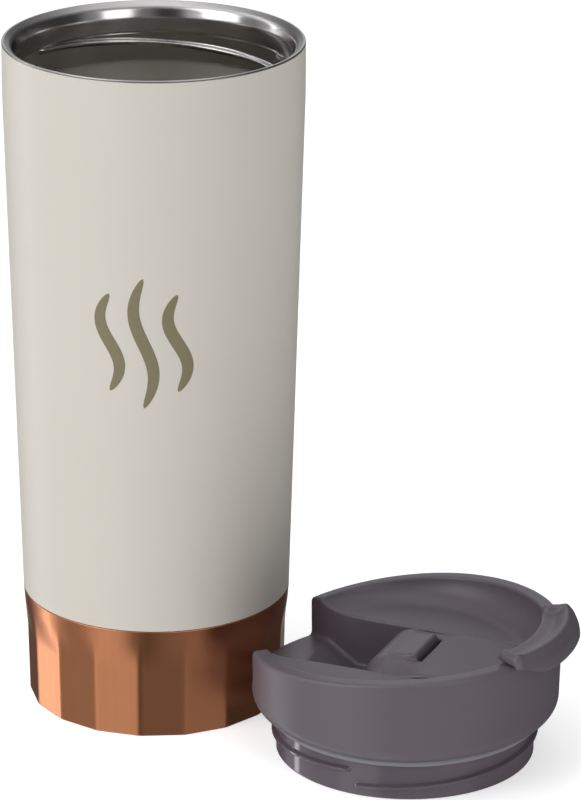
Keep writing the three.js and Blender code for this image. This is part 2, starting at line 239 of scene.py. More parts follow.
def filled(outline, step, low=-1e9, high=1e9):
    """The outline with extra points, no more than a step apart, on what lies between two heights."""
    points = []
    for here, after in zip(outline, np.roll(outline, -1, 0)):
        points.append(here)
        if low <= here[1] <= high or low <= after[1] <= high:
            parts = int(np.linalg.norm(after - here) // step) + 1
            points += [here + (after - here) * k / parts for k in range(1, parts)]
    return np.array(points)


def turned(outline, steps, shape=None):
    """Points and faces of an outline of (radius, height), anticlockwise, turned about the Z axis.

    An outline that starts on the axis also ends on it. shape(radius, angle, height) gives new radii.
    """
    solid = outline[0][0] < 1e-6
    rings = outline[1:-1] if solid else outline
    angle = np.arange(steps) * 2 * math.pi / steps
    radius = np.repeat(rings[:, :1], steps, 1)
    height = np.repeat(rings[:, 1:], steps, 1)
    if shape:
        radius = shape(radius, angle[None, :], height)
    points = np.stack([radius * np.cos(angle), radius * np.sin(angle), height], -1).reshape(-1, 3)
    index = np.arange(len(rings) * steps).reshape(len(rings), steps)
    lower = index[:-1] if solid else index
    upper = index[1:] if solid else np.roll(index, -1, 0)
    faces = np.stack([lower, np.roll(lower, -1, 1), np.roll(upper, -1, 1), upper], -1).reshape(-1, 4).tolist()
    if solid:
        count = len(points)
        points = np.vstack([points, [[0, 0, outline[0][1]], [0, 0, outline[-1][1]]]])
        faces += [(count, b, a) for a, b in zip(index[0], np.roll(index[0], -1))]
        faces += [(count + 1, a, b) for a, b in zip(index[-1], np.roll(index[-1], -1))]
    return points, faces


def skin(distance, low, high, step):
    """Points and faces of the surface where distance(x, y, z) is 0, between two corners."""
    axes = [np.arange(a - 3 * step, b + 3.5 * step, step) for a, b in zip(low, high)]
    field = distance(*np.meshgrid(*axes, indexing="ij", sparse=True))
    grid = openvdb.FloatGrid(3 * step)
    grid.copyFromArray(np.ascontiguousarray(np.clip(field, -3 * step, 3 * step), dtype=np.float32))
    points, faces = grid.convertToQuads(0.0)
    points = np.array(points, float) * step + [axis[0] for axis in axes]
    faces = np.array(faces)
    for _ in range(3):
        value = distance(*points.T)
        slope = gradient(distance, points)
        push = value / np.maximum((slope**2).sum(1), 0.3)
        points -= slope * np.clip(push, -0.4 * step, 0.4 * step)[:, None]
    return points, outward(points, faces).tolist()


def gradient(distance, points):
    """How fast the distance grows along each axis."""
    reach = 0.02
    columns = []
    for axis in np.eye(3) * reach:
        columns.append((distance(*(points + axis).T) - distance(*(points - axis).T)) / (2 * reach))
    return np.stack(columns, 1)


def outward(points, faces):
    """The faces of a closed mesh, turned so that they point out."""
    a, b, c, d = (points[faces[:, k]] for k in range(4))
    volume = (np.cross(b - a, c - a) * a).sum() + (np.cross(c - a, d - a) * a).sum()
    return faces if volume > 0 else faces[:, ::-1]


def on_lid(points):
    """Points about the lid's own axis, with the tab along X, put where the lid lies."""
    cos, sin = math.cos(LID_TURN), math.sin(LID_TURN)
    x, y, z = np.asarray(points).T
    return np.stack([LID_X + x * cos - y * sin, LID_Y + x * sin + y * cos, z], 1)


def piece(name, shape, body, finish, stands_for=(), sharp=None):
    """An object of the scene from points in millimetres and faces."""
    points, faces = shape
    mesh = bpy.data.meshes.new(name)
    mesh.from_pydata((np.asarray(points) * MM).tolist(), [], faces)
    mesh.validate()
    mesh.shade_smooth()
    if sharp:
        mesh.set_sharp_from_angle(angle=math.radians(sharp))
    mesh.materials.append(finish)
    thing = bpy.data.objects.new(name, mesh)
    bpy.context.scene.collection.objects.link(thing)
    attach(thing, body)
    if stands_for:
        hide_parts(*stands_for)
    return thing


# ---------------------------------------------------------------- distances


def smooth_max(a, b, blend):
    """What is inside both, with the meeting softened over that width."""
    return np.maximum(a, b) + np.maximum(blend - np.abs(a - b), 0) ** 2 / (4 * blend)


def smooth_min(a, b, blend):
    """What is inside either, with the meeting softened over that width."""
    return -smooth_max(-a, -b, blend)


def eased(share):
    """A share kept between 0 and 1, with a soft start and end."""
    share = np.clip(share, 0, 1)
    return share * share * (3 - 2 * share)


def round_max(a, b, radius):
    """What is inside both, with a round edge where they meet."""
    corner = np.hypot(np.maximum(a + radius, 0), np.maximum(b + radius, 0))
    return np.minimum(np.maximum(a, b), -radius) + corner


def inside_outline(u, v, outline):
    """Distance from a closed outline, negative inside it."""
    nearest = np.full(np.broadcast(u, v).shape, 1e9)
    side = np.ones(nearest.shape)
    for (u0, v0), (u1, v1) in zip(outline, np.roll(outline, -1, 0)):
        du, dv = u1 - u0, v1 - v0
        along = np.clip(((u - u0) * du + (v - v0) * dv) / (du * du + dv * dv), 0, 1)
        nearest = np.minimum(nearest, (u - u0 - along * du) ** 2 + (v - v0 - along * dv) ** 2)
        cross = du * (v - v0) - dv * (u - u0)
        side = np.where((v >= v0) & (v < v1) & (cross > 0), -side, side)
        side = np.where((v < v0) & (v >= v1) & (cross < 0), -side, side)
    return side * np.sqrt(nearest)


def inside_box(u, v, half_u, half_v, radius):
    """Distance from a rectangle with round corners, centred on 0."""
    u = np.abs(u) - half_u + radius
    v = np.abs(v) - half_v + radius
    return np.hypot(np.maximum(u, 0), np.maximum(v, 0)) + np.minimum(np.maximum(u, v), 0) - radius


def inside_sector(x, y, half_arc):
    """Distance from a wedge about the X axis, negative inside it."""
    return np.abs(y) * math.cos(half_arc) - x * math.sin(half_arc)


def broken_line(x, line, soft):
    """Height of a line through (x, height) corners, with each corner softened."""
    across, up = np.array(line, float).T
    return sum(np.interp(x + shift * soft, across, up) for shift in (-1, -0.5, 0, 0.5, 1)) / 5


# ---------------------------------------------------------------- the tumbler's shapes


def ridge(angle, height, start):
    """How far a screw ridge stands out, from 0 to 1, at each angle and height."""
    foot, azimuth = start
    best = 0
    for k in range(STARTS):
        along = (angle - azimuth - k * 2 * math.pi / STARTS) % (2 * math.pi)
        off = np.abs(height - foot - LEAD * along / (2 * math.pi)) / (RIDGE_WIDTH / 2)
        end = np.clip(np.minimum(along, START_ARC - along) / RIDGE_RUN_IN, 0, 1)
        bump = eased((1 - off) / RIDGE_FLANK) * np.sqrt(end * (2 - end))
        best = np.maximum(best, bump)
    return best


def outer_wall():
    """The painted wall, with a foot that goes down inside the sleeve."""
    seat = SLEEVE_TOP_Z + 0.12
    foot = SOCKET_R - GAP
    step = SOCKET_TOP_R - GAP
    outline = [
        (foot, WALL_FOOT_Z),
        (step, seat),
        (SLEEVE_TOP_R - 0.02, seat, 0.3),
        (MOUTH_R, SHOULDER_Z, 60),
        (MOUTH_R, WALL_TOP_Z, 0.3),
        (MOUTH_R - SHEET, WALL_TOP_Z),
        (MOUTH_R - SHEET, SHOULDER_Z),
        (SLEEVE_TOP_R - SHEET, seat + SHEET),
        (step - SHEET, seat + SHEET),
        (foot - SHEET, WALL_FOOT_Z),
    ]
    return turned(filled(rounded(outline, 8), 5), 256)


def inner_liner():
    """The steel bottle inside, with its broad lip and the thread of the neck."""
    throat = NECK_R + 0.1
    outline = [
        (0, LINER_BASE),
        (LINER_FOOT_R - 5, LINER_BASE, 5),
        (LINER_FOOT_R, LINER_BASE + 4, 3),
        (throat + 0.6, NECK_TOP_Z - 0.6),
        (MOUTH_R - SHEET - GAP, HEIGHT - LIP_THICK),
        (MOUTH_R - SHEET - GAP, WALL_TOP_Z + 0.1),
        (MOUTH_R - 0.06, WALL_TOP_Z + 0.1, 0.1),
        (MOUTH_R - 0.06, HEIGHT, 0.3),
        (MOUTH_R - 0.6, HEIGHT, 0.6),
        (LIP_R, LIP_Z, 2.2),
        (LIP_R - 0.75, LIP_Z - 2.6, 5),
        (NECK_R - 0.25, NECK_TOP_Z, 0.4),
        (throat, NECK_TOP_Z - 0.7, 0.3),
        (throat, NECK_BOTTOM_Z - 2, 60),
        (LINER_FOOT_R - SHEET, LINER_BASE + 4.1, 3),
        (LINER_FOOT_R - 5.2, LINER_BASE + SHEET, 5),
        (0, LINER_BASE + SHEET),
    ]
    line = filled(rounded(outline[1:-1]), 0.12, NECK_BOTTOM_Z - 1, NECK_TOP_Z - 0.8)
    line = np.vstack([outline[0], line, outline[-1]])

    def threaded(radius, angle, height):
        inner = (radius < throat + 0.1) & (height > NECK_BOTTOM_Z) & (height < NECK_TOP_Z)
        return radius - np.where(inner, ridge(angle, height, NECK_THREAD), 0) * RIDGE_DEPTH

    return turned(line, 480, threaded)


def base_sleeve():
    """The copper sleeve, round at the paint line and faceted at the foot."""
    outline = [
        (FOOT_CAP_R + GAP, 0),
        (FACET_CORNER_R, 0, 0.35),
        (FACET_CORNER_R + 0.4, FACET_FULL_Z),
        (SLEEVE_TOP_R, SLEEVE_TOP_Z, 0.15),
        (SOCKET_TOP_R, SLEEVE_TOP_Z),
        (SOCKET_R, FOOT_PLATE, 0.3),
        (FOOT_CAP_R + GAP, FOOT_PLATE),
    ]
    half = math.pi / FACETS

    def faceted(radius, angle, height):
        off = (angle - FACET_PHASE) % (2 * half) - half
        flat = radius * math.cos(half) / np.cos(off)
        flat = smooth_min(flat, radius - 0.05, 0.12)
        fade = eased((FACET_FADE_Z - height) / (FACET_FADE_Z - FACET_FULL_Z))
        outside = radius > SOCKET_TOP_R - 0.8
        return np.where(outside & (height < FACET_FADE_Z), radius + (flat - radius) * fade, radius)

    return turned(filled(rounded(outline), 0.8), FACETS * 24, faceted)


def foot_cap():
    """The plate that closes the underside, slightly hollow in the middle."""
    edge = FOOT_CAP_R
    outline = [
        (0, 0.5),
        (edge - 4, 0.5, 1),
        (edge - 2.4, 0, 0.6),
        (edge, 0, 0.3),
        (edge, FOOT_PLATE, 0.2),
        (0, FOOT_PLATE),
    ]
    line = rounded(outline[1:-1])
    return turned(np.vstack([outline[0], filled(line, 1.5), outline[-1]]), 192)


# ---------------------------------------------------------------- the lid's shapes


def rim_height(x):
    """Height of the rim's top at a distance x towards the tab."""
    return RIM_Z + RIM_SLOPE * x - RIM_BOW * x * x


def dish_distance(r, x, z):
    """Distance from the dish: a level floor with a wall that curves up to the rim's inner edge."""
    wide = CREST_R - DISH_R
    tall = np.maximum(rim_height(x) - DISH_Z, 0.6)
    across = np.maximum(r - DISH_R, 0) / wide
    down = np.maximum(rim_height(x) - z, 0) / tall
    far = np.maximum(np.hypot(across, down), 0.05)
    return (far - 1) * far / np.maximum(np.hypot(across / wide, down / tall), 0.005)


def channel_distance(r, x, y, z):
    """Distance from the channel across the lid, which widens towards the notch."""
    beyond = np.maximum(CHANNEL_FLARE_X - x, 0)
    half = CHANNEL_HALF + 0.0015 * beyond**2.5
    channel = (np.abs(y) - half) / np.hypot(1, 0.00375 * beyond**1.5)
    channel = np.where(x < 0, channel, smooth_max(channel, r - CHANNEL_END_R, 1.5))
    return smooth_max(channel, broken_line(x, FLOOR, 0.4) - z, 1.5)


def shell_distance(x, y, z):
    """Distance from the lid's upper moulding, solid down to the skirt's floor."""
    r = np.hypot(x, y)
    share = np.clip((z - COLLAR_SIDE_Z) / (RIM_Z - COLLAR_SIDE_Z), 0, 1)
    out = r - COLLAR_R + FOOT_ROUND - (COLLAR_TOP_R - COLLAR_R) * share
    side = np.hypot(np.maximum(out, 0), np.maximum(COLLAR_FOOT_Z + FOOT_ROUND - z, 0)) - FOOT_ROUND
    body = smooth_max(side, z - rim_height(x), 1.3)
    body = smooth_max(body, -dish_distance(r, x, z), 0.6)
    body = smooth_max(body, -channel_distance(r, x, y, z), 0.7)

    spout = inside_box(x - SPOUT_X, y, SPOUT_HALF_X, SPOUT_HALF_Y, SPOUT_ROUND)
    vent = VENT_R - np.hypot(x - VENT_X, y)
    body = smooth_max(body, -spout, 0.8)
    body = smooth_max(body, vent, 0.5)

    core = np.maximum(np.maximum(r - CORE_R, CORE_Z - z), z - COLLAR_FOOT_Z - 1)
    core = np.maximum(core, np.maximum(-spout, vent))
    body = np.minimum(body, core)

    pin = np.maximum(np.hypot(x - HINGE_X, z - HINGE_Z) - PIN_BORE_R, np.abs(y) - PIN_BORE_HALF)
    return np.maximum(body, -pin)


def lid_shell():
    """The lid's upper moulding."""
    low = (-COLLAR_TOP_R, -COLLAR_TOP_R, CORE_Z)
    high = (COLLAR_TOP_R, COLLAR_TOP_R, rim_height(COLLAR_TOP_R))
    return skin(shell_distance, low, high, 0.45)


def tab_ends(x, y, z):
    """Distance from the tab's two rolled ends, which lie across the rim."""
    arc = TAB_ARC - math.radians(2.4)
    along = x * math.cos(arc) + np.abs(y) * math.sin(arc)
    off = np.abs(y) * math.cos(arc) - x * math.sin(arc)
    beyond = np.maximum(np.abs(along - (CREST_R + TAB_LIP_R) / 2) - TAB_END_HALF, 0)
    return np.sqrt(beyond**2 + off**2 + (z - TAB_END_Z) ** 2) - TAB_END_R


def tab_distance(x, y, z):
    """Distance from the thumb tab, whose lip hangs lowest in the middle of its arc."""
    r = np.hypot(x, y)
    under = rim_height(COLLAR_TOP_R) + GAP
    share = eased((np.arctan2(np.abs(y), x) - TAB_LIP_ARC) / (TAB_ARC - TAB_LIP_ARC))
    along = under - np.maximum(under - z, 0) / (1 - 0.9 * share)
    out = TAB_LIP_R + np.maximum(r - TAB_LIP_R, 0) / (1 - 0.35 * share)
    lip = rounded(
        [
            (TAB_INNER_R, under, 0.3),
            (TAB_LIP_R, under, 0.5),
            (TAB_LIP_R, 33.2, 0.5),
            (TAB_LIP_R + 1, 32.7, 0.7),
            (TAB_LIP_R + 4, 34.4, 2),
            (TAB_LIP_R + 3.5, 38.1, 2.2),
            (TAB_LIP_R + 0.2, 40.3, 1.6),
            (TAB_LIP_R - 3.2, 38.5, 3),
            (TAB_INNER_R, 38.7, 0.7),
        ],
        4,
    )
    over = inside_outline(np.where(r > TAB_LIP_R, out, r), np.where(z < under, along, z), lip)
    over = round_max(over, inside_sector(x, y, TAB_ARC), 1.6)
    over = smooth_min(over, tab_ends(x, y, z), 1.2)
    root = rounded(
        [
            (31, FLAP_UNDER_Z),
            (CREST_R - 0.3, FLAP_UNDER_Z, 0.6),
            (CREST_R - 0.3, 38),
            (CREST_R - 1.1, 38.3),
            (CREST_R - 1.6, 33, 4),
            (CREST_R - 3.2, FLAP_TOP_Z[1] - 0.2, 1.5),
            (31, FLAP_TOP_Z[1] - 0.2),
        ],
        4,
    )
    root = smooth_max(inside_outline(r, z, root), inside_sector(x, y, TAB_ROOT_ARC), 1.5)
    return smooth_min(over, root, 0.8)


def flap_distance(x, y, z):
    """Distance from the flap: hub, arm, tab, tongue and the posts that hold the seals."""
    r = np.hypot(x, y)
    fall = CHEEK_FALL * (np.maximum(np.abs(y) - CHEEK_Y, 0) / (FLAP_HALF - CHEEK_Y)) ** 2
    fall = fall * (1 - eased(x / CHEEK_X))
    slope = (FLAP_TOP_Z[1] - FLAP_TOP_Z[0]) / (FLAP_END_X - HINGE_X)
    top = FLAP_TOP_Z[0] + slope * (x - HINGE_X) - fall
    hub = np.hypot(x - HINGE_X, z - HINGE_Z) - HUB_R + fall
    arm = np.maximum(np.maximum(z - top, FLAP_UNDER_Z - z), HINGE_X - x)
    body = smooth_min(hub, arm, 0.8)
    middle = (FLAP_END_X + HINGE_X - HUB_R) / 2
    plan = np.maximum(inside_box(x - middle, y, FLAP_END_X - middle, FLAP_HALF, 4), r - FLAP_END_R)
    body = smooth_max(body, plan, 1.0)
    body = smooth_min(body, tab_distance(x, y, z), 0.9)

    rise = np.clip((x - HINGE_X + 2) / (TONGUE_END - HINGE_X + 2), 0, 1) ** 1.4
    tongue = smooth_max(z - top - fall - TONGUE_LIFT * rise, x - TONGUE_END, 1.8)
    tongue = smooth_max(tongue, np.abs(y) - TONGUE_HALF, 1.0)
    tongue = np.maximum(tongue, np.maximum(HINGE_X - x, FLAP_TOP_Z[0] - 2 - z))
    slot = inside_box(x - TONGUE_END - TONGUE_SLOT / 2, y, TONGUE_SLOT / 2, TONGUE_HALF, 0.3)
    slot = np.maximum(slot, top - 2.2 - z)
    body = smooth_max(body, -slot, 0.3)
    body = smooth_min(body, tongue, 0.4)

    bore = np.hypot(x - HINGE_X, z - HINGE_Z) - PIN_BORE_R
    body = np.maximum(body, -bore)

    spout_post = inside_box(x - SPOUT_X, y, SPOUT_HALF_X - 1.2, SPOUT_HALF_Y - 1.2, 2)
    vent_post = np.hypot(x - VENT_X, y) - VENT_R + 0.3
    posts = np.maximum(np.minimum(spout_post, vent_post), z - FLAP_UNDER_Z - 1)
    return smooth_min(body, np.maximum(posts, SEAL_TOP_Z + GAP - z), 0.8)


def flap():
    """The hinged flap with its thumb tab."""
    low = (HINGE_X - HUB_R, -22, HINGE_Z - HUB_R)
    high = (COLLAR_R + 5.5, 22, 40.5)
    return skin(flap_distance, low, high, 0.36)


def lid_plug():
    """The threaded skirt and its floor, before the holes are drilled."""
    under = PLUG_FLOOR_Z - PLUG_WALL
    outline = [
        (0, under),
        (SKIRT_BORE_R - 0.4, under, 1),
        (SKIRT_BORE_R, 0, 0.5),
        (SKIRT_R, 0, 0.7),
        (SKIRT_R, PLUG_TOP_Z, 0.4),
        (SKIRT_BORE_R, PLUG_TOP_Z, 0.3),
        (SKIRT_BORE_R, PLUG_FLOOR_Z, 0.5),
        (0, PLUG_FLOOR_Z),
    ]
    line = filled(rounded(outline[1:-1]), 0.15, 0.8, PLUG_TOP_Z - 0.8)
    line = np.vstack([outline[0], line, outline[-1]])

    def threaded(radius, angle, height):
        return radius + np.where(radius > SKIRT_R - 0.1, ridge(angle, height, LID_THREAD), 0) * RIDGE_DEPTH

    return turned(line, 480, threaded)


def slot_outline(middle, half_x, half_y, radius):
    """Corners of a rectangle with round corners, seen from above, anticlockwise."""
    signs = ((1, -1), (1, 1), (-1, 1), (-1, -1))
    return rounded([(middle + a * half_x, b * half_y, 0.99 * radius) for a, b in signs], 10)


def drill(thing, outline, low, high):
    """Cuts an upright hole of that outline, about the lid's own axis, through a piece of the lid."""
    count = len(outline)
    points = [(x, y, z) for z in (low, high) for x, y in outline]
    faces = [(k, (k + 1) % count, (k + 1) % count + count, k + count) for k in range(count)]
    faces += [tuple(range(count - 1, -1, -1)), tuple(range(count, 2 * count))]
    mesh = bpy.data.meshes.new("drill")
    mesh.from_pydata((on_lid(points) * MM).tolist(), [], faces)
    tool = bpy.data.objects.new("drill", mesh)
    bpy.context.scene.collection.objects.link(tool)
    cut = thing.modifiers.new("cut", "BOOLEAN")
    cut.object = tool
    cut.operation = "DIFFERENCE"
    cut.solver = "EXACT"
    bpy.context.view_layer.update()
    drilled = thing.evaluated_get(bpy.context.evaluated_depsgraph_get())
    thing.data = bpy.data.meshes.new_from_object(drilled)
    thing.data.set_sharp_from_angle(angle=math.radians(30))
    thing.modifiers.remove(cut)
    bpy.data.objects.remove(tool)


def lid_gasket():
    """The soft ring under the collar, a little fuller than its CAD node, so that its light bluish grey shows
    as a band along the collar's lower edge: partly the silicone's own colour and partly a painted highlight.
    """
    low, high = GASKET_LOW[2] - 0.4, GASKET_HIGH[2]
    inner, outer = SKIRT_R + GAP, (GASKET_HIGH[0] - GASKET_LOW[0]) / 2 + 0.3
    outline = [
        (inner, low, 0.2),
        (outer - 0.5, low, 0.5),
        (outer, high - 0.5, 0.5),
        (outer - 0.2, high, 0.2),
        (inner, high, 0.2),
    ]
    return turned(rounded(outline), 256)


# ---------------------------------------------------------------- the printed mark


def steam_mark():
    """Three wavy lines of rising steam in raised ink, on the side of the wall that faces the front."""
    points, faces = [], []
    across_steps, along_steps = 6, 60
    for centre, tall in WAVES:
        first = len(points)
        for k in range(along_steps + 1):
            share = k / along_steps
            half = WAVE_HALF * math.sqrt(max(1 - abs(2 * share - 1) ** 2.6, 0.0006))
            rise = (share - 0.5) * tall
            sway = WAVE_SWAY * math.sin(2 * math.pi * share)
            lean = WAVE_SWAY * 2 * math.pi / tall * math.cos(2 * math.pi * share)
            long = math.hypot(1, lean)
            for m in range(across_steps + 1):
                off = (m / across_steps * 2 - 1) * half
                edge = m in (0, across_steps) or k in (0, along_steps)
                u = MARK_X + centre + sway + off / long
                v = MARK_Z + rise - off * lean / long
                points.append(on_wall(u, v, 0.01 if edge else INK_THICK))
        wide = across_steps + 1
        for k in range(along_steps):
            for m in range(across_steps):
                a = first + k * wide + m
                faces.append((a, a + 1, a + 1 + wide, a + wide))
    return np.array(points), faces


def on_wall(u, v, proud):
    """The point of the painted wall's front at a distance u round it and a height v."""
    share = (v - SLEEVE_TOP_Z) / (SHOULDER_Z - SLEEVE_TOP_Z)
    radius = SLEEVE_TOP_R + (MOUTH_R - SLEEVE_TOP_R) * share
    angle = u / radius - math.pi / 2
    return ((radius + proud) * math.cos(angle), (radius + proud) * math.sin(angle), v)


# ---------------------------------------------------------------- finishes


class Finish:
    """A material made of nodes, with short calls to add and join them."""

    def __init__(self, name, colour, roughness, metallic=0.0, **settings):
        self.material = bpy.data.materials.new(name)
        self.material.use_nodes = True
        self.tree = self.material.node_tree
        self.shader = self.tree.nodes["Principled BSDF"]
        self.shader.inputs["Base Color"].default_value = (*colour, 1)
        self.shader.inputs["Roughness"].default_value = roughness
        self.shader.inputs["Metallic"].default_value = metallic
        for socket, value in settings.items():
            self.shader.inputs[socket.replace("_", " ")].default_value = value
        self.place = self.add("ShaderNodeTexCoord").outputs["Object"]

    def add(self, kind, links=(), **values):
        """A node, with its inputs set by values and joined by links of (input, output)."""
        node = self.tree.nodes.new(kind)
        for key, value in values.items():
            if key in node.inputs:
                node.inputs[key].default_value = value
            else:
                setattr(node, key, value)
        for socket, output in links:
            self.tree.links.new(output, node.inputs[socket])
        return node

    def noise(self, vector, scale, detail=3.0, roughness=0.5):
        settings = {"Scale": scale, "Detail": detail, "Roughness": roughness}
        return self.add("ShaderNodeTexNoise", [("Vector", vector)], **settings).outputs["Fac"]

    def ramp(self, factor, low, high, low_at=0.0, high_at=1.0):
        """A number that goes from low to high as the factor goes from low_at to high_at."""
        node = self.add("ShaderNodeMapRange", [("Value", factor)])
        ends = {"From Min": low_at, "From Max": high_at, "To Min": low, "To Max": high}
        for socket, value in ends.items():
            node.inputs[socket].default_value = value
        return node.outputs["Result"]

    def mixed(self, factor, first, second):
        """A colour between two, each a colour or an output."""
        node = self.add("ShaderNodeMix", data_type="RGBA")
        self.tree.links.new(factor, node.inputs["Factor"])
        for socket, value in ((6, first), (7, second)):
            if isinstance(value, tuple):
                node.inputs[socket].default_value = (*value, 1)
            else:
                self.tree.links.new(value, node.inputs[socket])
        return node.outputs[2]

    def colour(self, output):
        self.tree.links.new(output, self.shader.inputs["Base Color"])

    def roughness(self, output):
        self.tree.links.new(output, self.shader.inputs["Roughness"])

    def bump(self, height, distance, strength=1.0, under=None):
        """Relief of that many metres; under is the relief below it."""
        node = self.add("ShaderNodeBump", [("Height", height)], Distance=distance, Strength=strength)
        if under:
            self.tree.links.new(under, node.inputs["Normal"])
        self.tree.links.new(node.outputs["Normal"], self.shader.inputs["Normal"])
        return node.outputs["Normal"]

    def around(self, height_scale, round_scale):
        """Places on a cylinder of radius 1 about the Z axis, scaled round it and along it."""
        split = self.add("ShaderNodeSeparateXYZ", [("Vector", self.place)]).outputs
        angle = self.add("ShaderNodeMath", operation="ARCTAN2")
        self.tree.links.new(split["Y"], angle.inputs[0])
        self.tree.links.new(split["X"], angle.inputs[1])
        cos = self.add("ShaderNodeMath", [(0, angle.outputs[0])], operation="COSINE").outputs[0]
        sin = self.add("ShaderNodeMath", [(0, angle.outputs[0])], operation="SINE").outputs[0]
        place = self.add("ShaderNodeCombineXYZ", [("X", cos), ("Y", sin), ("Z", split["Z"])]).outputs[0]
        scale = (round_scale, round_scale, height_scale)
        return self.add("ShaderNodeMapping", [("Vector", place)], Scale=scale).outputs["Vector"]


def powder_coat():
    """Satin stone-white powder coat with a fine orange peel."""
    finish = Finish("stone_powder_coat", (0.60, 0.565, 0.50), 0.42, Specular_IOR_Level=0.45)
    peel = finish.noise(finish.place, 900, 2)
    fine = finish.noise(finish.place, 4200, 2)
    drift = finish.noise(finish.place, 18, 2)
    finish.colour(finish.mixed(drift, (0.585, 0.55, 0.485), (0.615, 0.58, 0.515)))
    finish.roughness(finish.ramp(fine, 0.36, 0.5, 0.3, 0.7))
    relief = finish.bump(peel, 0.00003, 0.5)
    finish.bump(fine, 0.000006, 0.5, relief)
    return finish.material


def copper():
    """Copper plate with a fine brushing along the axis."""
    finish = Finish("brushed_copper", (0.82, 0.33, 0.16), 0.3, 1.0)
    lines = finish.noise(finish.around(14, 420), 1, 3, 0.6)
    broad = finish.noise(finish.around(6, 50), 1, 2)
    finish.colour(finish.mixed(lines, (0.80, 0.32, 0.152), (0.84, 0.342, 0.168)))
    finish.roughness(finish.ramp(broad, 0.28, 0.33, 0.3, 0.7))
    finish.bump(lines, 0.0000015, 0.4)
    return finish.material


def steel(name, colour, liner=False):
    """Steel with a very fine brushing round its axis; a liner's lip is satin and its inside dull."""
    finish = Finish(name, colour, 0.3, 1.0)
    lines = finish.noise(finish.around(7000, 9), 1, 3, 0.6)
    dark = tuple(0.93 * c for c in colour)
    shade = finish.mixed(lines, dark, colour)
    fine = finish.ramp(lines, 0.2, 0.27, 0.3, 0.7)
    if liner:
        height = finish.add("ShaderNodeSeparateXYZ", [("Vector", finish.place)]).outputs["Z"]
        depth = finish.ramp(height, 1, 0, NECK_BOTTOM_Z * MM, (NECK_BOTTOM_Z + 1.5) * MM)
        shade = finish.mixed(depth, shade, (0.74, 0.705, 0.65))
        inside = finish.ramp(depth, 0, 0.24)
        lip = finish.ramp(height, -0.06, 0.12, (LIP_Z - 0.9) * MM, (LIP_Z + 0.1) * MM)
        for part in (inside, lip):
            fine = finish.add("ShaderNodeMath", [(0, fine), (1, part)], operation="ADD").outputs[0]
    finish.colour(shade)
    finish.roughness(fine)
    finish.bump(lines, 0.0000015, 0.5)
    return finish.material


def lid_matte():
    """Moulded polypropylene with a fine spark-eroded grain."""
    finish = Finish("warm_grey_lid", (0.118, 0.099, 0.117), 0.42, Specular_IOR_Level=0.5)
    grain = finish.noise(finish.place, 3600, 3)
    cloud = finish.noise(finish.place, 40, 2)
    finish.colour(finish.mixed(cloud, (0.113, 0.095, 0.112), (0.124, 0.104, 0.122)))
    finish.roughness(finish.ramp(grain, 0.34, 0.48, 0.3, 0.7))
    finish.bump(grain, 0.000012, 0.5)
    return finish.material


def lid_gloss():
    """The screw skirt's smooth moulding."""
    finish = Finish("glossy_lid_skirt", (0.12, 0.098, 0.117), 0.1, Specular_IOR_Level=0.5)
    swirl = finish.noise(finish.place, 70, 3)
    finish.colour(finish.mixed(swirl, (0.115, 0.094, 0.112), (0.126, 0.103, 0.122)))
    finish.roughness(finish.ramp(swirl, 0.07, 0.12, 0.3, 0.7))
    finish.bump(swirl, 0.00002, 0.3)
    return finish.material


def silicone():
    """Soft silicone with a dusty satin surface; its light bluish grey is partly its own colour and partly a
    painted highlight.
    """
    # painted highlight: this light bluish grey also stands in for the bluish highlight along the lid collar's
    # lower edge
    finish = Finish("grey_silicone", (0.20, 0.19, 0.215), 0.5, Specular_IOR_Level=0.4)
    dust = finish.noise(finish.place, 1500, 3)
    finish.colour(finish.mixed(dust, (0.19, 0.18, 0.205), (0.215, 0.205, 0.23)))
    finish.roughness(finish.ramp(dust, 0.42, 0.6, 0.3, 0.7))
    finish.bump(dust, 0.00001, 0.4)
    return finish.material


def ink():
    """The khaki ink of the mark."""
    finish = Finish("khaki_ink", (0.205, 0.175, 0.095), 0.5)
    mottle = finish.noise(finish.place, 1400, 3)
    finish.colour(finish.mixed(mottle, (0.19, 0.162, 0.088), (0.222, 0.19, 0.105)))
    finish.roughness(finish.ramp(mottle, 0.42, 0.58, 0.3, 0.7))
    finish.bump(mottle, 0.00001, 0.4)
    return finish.material


# ---------------------------------------------------------------- the pieces


def tumbler(bare_steel):
    coat, plate = powder_coat(), copper()
    lined = steel("liner_steel", (0.56, 0.54, 0.53), liner=True)
    piece("powder_coated_wall", outer_wall(), "tumbler", coat, ["outer_wall"], 40)
    piece("steel_liner", inner_liner(), "tumbler", lined, ["inner_liner"], 60)
    piece("copper_sleeve", base_sleeve(), "tumbler", plate, ["base_sleeve"], 60)
    piece("foot_plate", foot_cap(), "tumbler", bare_steel, ["foot_cap"], 60)
    piece("steam_mark", steam_mark(), "tumbler", ink())


def lid(rubber):
    matte, gloss = lid_matte(), lid_gloss()
    points, faces = lid_shell()
    piece("lid_cover", (on_lid(points), faces), "lid", matte, ["lid_shell"])
    points, faces = flap()
    piece("drink_flap", (on_lid(points), faces), "flap", matte, ["flap"])
    points, faces = lid_plug()
    skirt = piece("screw_skirt", (on_lid(points), faces), "lid", gloss, ["lid_plug"])
    spout = slot_outline(SPOUT_X, SPOUT_HALF_X, SPOUT_HALF_Y, SPOUT_ROUND)
    vent = slot_outline(VENT_X, VENT_R, VENT_R, VENT_R)
    for hole in (spout, vent):
        drill(skirt, hole, PLUG_FLOOR_Z - PLUG_WALL - 1, PLUG_FLOOR_Z + 1)
    points, faces = lid_gasket()
    piece("collar_gasket", (on_lid(points), faces), "gasket", rubber, ["lid_gasket"])


def repaint(node, finish):
    """The finish of a CAD node that keeps its own shape."""
    mesh = frame["nodes"][node].data
    mesh.materials.clear()
    mesh.materials.append(finish)


